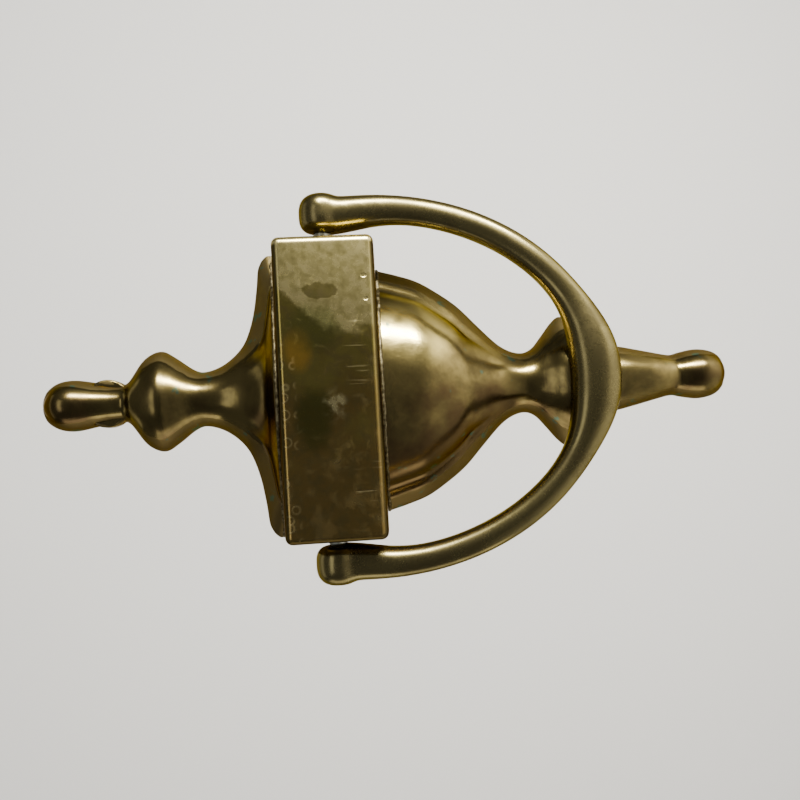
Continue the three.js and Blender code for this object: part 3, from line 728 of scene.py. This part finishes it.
rings = [crescent_ring(arm_centre, t * ARM_DROP, Vector((0, 0, -1))) for t in (-0.1, 0.2, 0.4, 0.6, 0.8)]
for i in range(CRESCENT_RINGS + 1):
    angle = math.pi * i / CRESCENT_RINGS
    sweep = reach - ARM_DROP
    tangent = Vector((-arm_centre * math.sin(angle), 0, -sweep * math.cos(angle))).normalized()
    rings.append(crescent_ring(arm_centre * math.cos(angle), ARM_DROP + sweep * math.sin(angle), tangent))
rings += [crescent_ring(-arm_centre, t * ARM_DROP, Vector((0, 0, 1))) for t in (0.8, 0.6, 0.4, 0.2, -0.1)]
bpy.ops.object.select_all(action="DESELECT")
bpy.ops.mesh.primitive_grid_add(x_subdivisions=CRESCENT_SIDES, y_subdivisions=len(rings) - 1, size=1)
crescent = bpy.context.object
for vertex in crescent.data.vertices:
    ring, point = divmod(vertex.index, CRESCENT_SIDES + 1)
    vertex.co = rings[ring][point % CRESCENT_SIDES]


def turned_bar(name, profile, segments=48):
    """A bar turned about X from [distance, radius] pairs, which start and end in flat faces."""
    bpy.ops.object.select_all(action="DESELECT")
    distance, radius = profile[0]
    bpy.ops.mesh.primitive_circle_add(vertices=segments, radius=radius * MM, fill_type="NGON",
                                      location=(distance * MM, 0, 0), rotation=(0, math.pi / 2, 0))
    bar = bpy.context.object
    bar.name = name
    bpy.ops.object.transform_apply()
    bpy.ops.object.mode_set(mode="EDIT")
    bpy.ops.mesh.select_mode(type="VERT")
    bpy.ops.mesh.select_all(action="SELECT")
    for (near, wide), (far, narrow) in zip(profile, profile[1:]):
        bpy.ops.mesh.extrude_region_move(TRANSFORM_OT_translate={"value": ((far - near) * MM, 0, 0)})
        scale = narrow / wide
        bpy.ops.transform.resize(value=(1, scale, scale))
    bpy.ops.mesh.select_all(action="SELECT")
    bpy.ops.mesh.normals_make_consistent(inside=False)
    bpy.ops.object.mode_set(mode="OBJECT")
    return bar


bulb_profile = []
for i in range(7):
    angle = math.radians(90) * i / 6
    bulb_profile.append((bulb_face + FACE_ROUND * (1 - math.cos(angle)),
                         BULB_RADIUS - FACE_ROUND * (1 - math.sin(angle))))
for i in range(9):
    angle = math.radians(85) * i / 8
    bulb_profile.append((outer_end - BULB_ROUND * (1 - math.sin(angle)),
                         BULB_RADIUS - BULB_ROUND * (1 - math.cos(angle))))
right_bulb = turned_bar("right_bulb", bulb_profile)
left_bulb = turned_bar("left_bulb", [(-distance, radius) for distance, radius in bulb_profile])
for piece in (right_bulb, left_bulb, crescent):
    piece.select_set(True)
bpy.context.view_layer.objects.active = crescent
bpy.ops.object.join()
handle = bpy.context.object
handle.name = "striker_handle"
close_up("VERT")
fuse = handle.modifiers.new("fuse", "REMESH")
fuse.mode = "VOXEL"
fuse.voxel_size = FUSE_GRAIN * MM
bpy.ops.object.modifier_apply(modifier="fuse")
soften = handle.modifiers.new("soften", "SMOOTH")
soften.factor = 0.5
soften.iterations = SOFTEN_STEPS
bpy.ops.object.modifier_apply(modifier="soften")
for side in (-1, 1):
    bore = turned_bar("bore", [(side * (bulb_face - 1), SPIGOT_HOLE),
                               (side * (bulb_face + SPIGOT_DEPTH), SPIGOT_HOLE)])
    carve(handle, bore, "DIFFERENCE")
handle.rotation_euler = (-lean, 0, 0)
handle.location = (handle_slide * MM, -PIVOT_DEPTH * MM, 0)
bpy.ops.object.select_all(action="DESELECT")
handle.select_set(True)
bpy.context.view_layer.objects.active = handle
bpy.ops.object.transform_apply()
bpy.ops.object.shade_smooth_by_angle(angle=math.radians(50))
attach(handle, "striker")
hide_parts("handle")

HANDLE_BRIGHT, HANDLE_WORN = (0.20, 0.166, 0.07, 1), (0.13, 0.107, 0.047, 1)
metal, shader, place = new_material("handle_brass")
cloud = place.noise(60, 5, 0.6, 0.3)
grain = place.noise(1800, 3, 0.6)
worn = cloud.step(0.4, 0.62)
plug(worn.blend(HANDLE_BRIGHT, HANDLE_WORN), shader, "Base Color")
plug(worn * 0.06 + grain * 0.1 + 0.19, shader, "Roughness")
plug((grain * 0.3 + place.noise(420, 4) * 0.5).bump(0.25, 0.05), shader, "Normal")
handle.data.materials.clear()
handle.data.materials.append(metal)


# Each steel pin is pressed into a bulb by a thin spigot, and its thicker shoulder turns in the band's end.
PIN_RADIUS, SPIGOT_RADIUS, SPIGOT_LENGTH = 2.5, 2.0, 5.5
SHOULDER_OUT = 0.8
PIN_GREY, PIN_RUST = (0.42, 0.43, 0.38, 1), (0.20, 0.19, 0.15, 1)
metal, shader, place = new_material("pin_steel")
rust = place.noise(700, 4, 0.6)
plug(rust.step(0.45, 0.7).blend(PIN_GREY, PIN_RUST), shader, "Base Color")
plug(rust * 0.3 + 0.3, shader, "Roughness")
plug(rust.bump(0.4, 0.08), shader, "Normal")
pin_steel = metal
for name, side in (("right_pivot_pin", 1), ("left_pivot_pin", -1)):
    low, high = (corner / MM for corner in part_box(name))
    tip, end = (low.x, high.x) if side > 0 else (high.x, low.x)
    shoulder = end - side * (SPIGOT_LENGTH + SEAM - SHOULDER_OUT)
    pin = turned_bar(name + "_turned", [
        (tip, PIN_RADIUS - 0.9), (tip + side * 0.3, PIN_RADIUS - 0.3), (tip + side * 0.8, PIN_RADIUS),
        (shoulder - side * 0.2, PIN_RADIUS), (shoulder, PIN_RADIUS - 0.2), (shoulder, SPIGOT_RADIUS),
        (end - side * 0.4, SPIGOT_RADIUS), (end, SPIGOT_RADIUS - 0.4)])
    pin.location = (0, -PIVOT_DEPTH * MM, 0)
    bpy.ops.object.transform_apply()
    bpy.ops.object.shade_smooth_by_angle(angle=math.radians(30))
    pin.data.materials.append(pin_steel)
    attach(pin, "striker")
    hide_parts(name)


# Each casting is held by a round-headed slotted screw from inside the door, with a real thread, over a
# washer with softened edges.
SHANK_RADIUS, CORE_RADIUS, PITCH = 2.45, 2.05, 0.8
HEAD_RADIUS, HEAD_HEIGHT = 4.8, 3.0
SLOT_WIDTH, SLOT_DEPTH = 1.2, 1.0
THREAD_LENGTH = 24
WASHER_HOLE = 2.8
TIP_LENGTH, HEAD_EDGE, HEAD_SPAN, WASHER_EDGE = 0.6, 0.25, math.radians(82), 0.2
SCREW_BRASS, SCREW_TARNISH = (0.55, 0.44, 0.18, 1), (0.34, 0.27, 0.11, 1)
metal, shader, place = new_material("fixing_brass")
cloud = place.noise(300, 5, 0.6)
grain = place.noise(2400, 3)
plug(cloud.step(0.4, 0.65).blend(SCREW_BRASS, SCREW_TARNISH), shader, "Base Color")
plug(cloud * 0.15 + grain * 0.1 + 0.15, shader, "Roughness")
plug(grain.bump(0.2, 0.03), shader, "Normal")
fixing_brass = metal


def stand_out(piece, level, turn):
    """Turns a piece that was made along +X so that it runs along +Y at its level."""
    bpy.ops.object.select_all(action="DESELECT")
    piece.select_set(True)
    bpy.context.view_layer.objects.active = piece
    piece.matrix_world = (Matrix.Translation((0, 0, level * MM)) @ Matrix.Rotation(turn, 4, "Y")
                          @ Matrix.Rotation(math.pi / 2, 4, "Z"))
    bpy.ops.object.transform_apply()


for place_name, turn in (("upper", 0.5), ("lower", -0.35)):
    node = place_name + "_mount_screw"
    low, high = (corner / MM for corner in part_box(node))
    level = 0.5 * (low.z + high.z)
    seat = high.y - HEAD_HEIGHT
    thread_start = low.y + 1.0
    thread_end = thread_start + THREAD_LENGTH
    profile = [(low.y, CORE_RADIUS - 0.5), (low.y + TIP_LENGTH, CORE_RADIUS), (thread_end, CORE_RADIUS),
               (thread_end + TIP_LENGTH, SHANK_RADIUS), (seat, SHANK_RADIUS), (seat, HEAD_RADIUS - 0.3),
               (seat + HEAD_EDGE, HEAD_RADIUS - 0.02)]
    for i in range(1, 9):
        angle = HEAD_SPAN * i / 8
        rise = (HEAD_HEIGHT - HEAD_EDGE) * math.sin(angle) / math.sin(HEAD_SPAN)
        profile.append((seat + HEAD_EDGE + rise, HEAD_RADIUS * math.cos(angle)))
    screw = turned_bar(place_name + "_screw", profile)
    bpy.ops.object.select_all(action="DESELECT")
    bpy.ops.mesh.primitive_cube_add(size=1, location=(high.y * MM, 0, 0),
                                    scale=(2 * SLOT_DEPTH * MM, 4 * HEAD_RADIUS * MM, SLOT_WIDTH * MM))
    slot_tool = bpy.context.object
    bpy.ops.object.transform_apply()
    carve(screw, slot_tool, "DIFFERENCE")
    bpy.ops.object.select_all(action="DESELECT")
    bpy.ops.mesh.primitive_plane_add(size=1, location=(0, 0, 0))
    thread = bpy.context.object
    section = [(0, CORE_RADIUS - 0.4), (0.7, CORE_RADIUS - 0.4), (0.45, SHANK_RADIUS), (0.25, SHANK_RADIUS)]
    order = [0, 1, 3, 2]
    for vertex in thread.data.vertices:
        along, radius = section[order[vertex.index]]
        vertex.co = ((thread_start + along) * MM, 0, radius * MM)
    coil = thread.modifiers.new("coil", "SCREW")
    coil.axis = "X"
    coil.screw_offset = PITCH * MM
    coil.iterations = int(THREAD_LENGTH / PITCH)
    coil.steps = 32
    coil.render_steps = 32
    bpy.ops.object.modifier_apply(modifier="coil")
    bpy.ops.object.select_all(action="DESELECT")
    thread.select_set(True)
    screw.select_set(True)
    bpy.context.view_layer.objects.active = screw
    bpy.ops.object.join()
    stand_out(screw, level, turn)
    bpy.ops.object.mode_set(mode="EDIT")
    bpy.ops.mesh.select_all(action="SELECT")
    bpy.ops.mesh.normals_make_consistent(inside=False)
    bpy.ops.object.mode_set(mode="OBJECT")
    bpy.ops.object.shade_smooth_by_angle(angle=math.radians(35))
    screw.data.materials.clear()
    screw.data.materials.append(fixing_brass)
    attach(screw, "urn_body")
    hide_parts(node)

    node = place_name + "_mount_washer"
    low, high = (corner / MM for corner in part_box(node))
    washer = upright_bar(place_name + "_washer", high.x, -high.y, -low.y, level, 64)
    carve(washer, upright_bar("hole", WASHER_HOLE, -high.y - 1, -low.y + 1, level), "DIFFERENCE")
    rounding = washer.modifiers.new("rounding", "BEVEL")
    rounding.width = WASHER_EDGE * MM
    rounding.segments = 3
    rounding.limit_method = "ANGLE"
    bpy.ops.object.modifier_apply(modifier="rounding")
    bpy.ops.object.shade_smooth_by_angle(angle=math.radians(35))
    washer.data.materials.clear()
    washer.data.materials.append(fixing_brass)
    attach(washer, "urn_body")
    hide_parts(node)
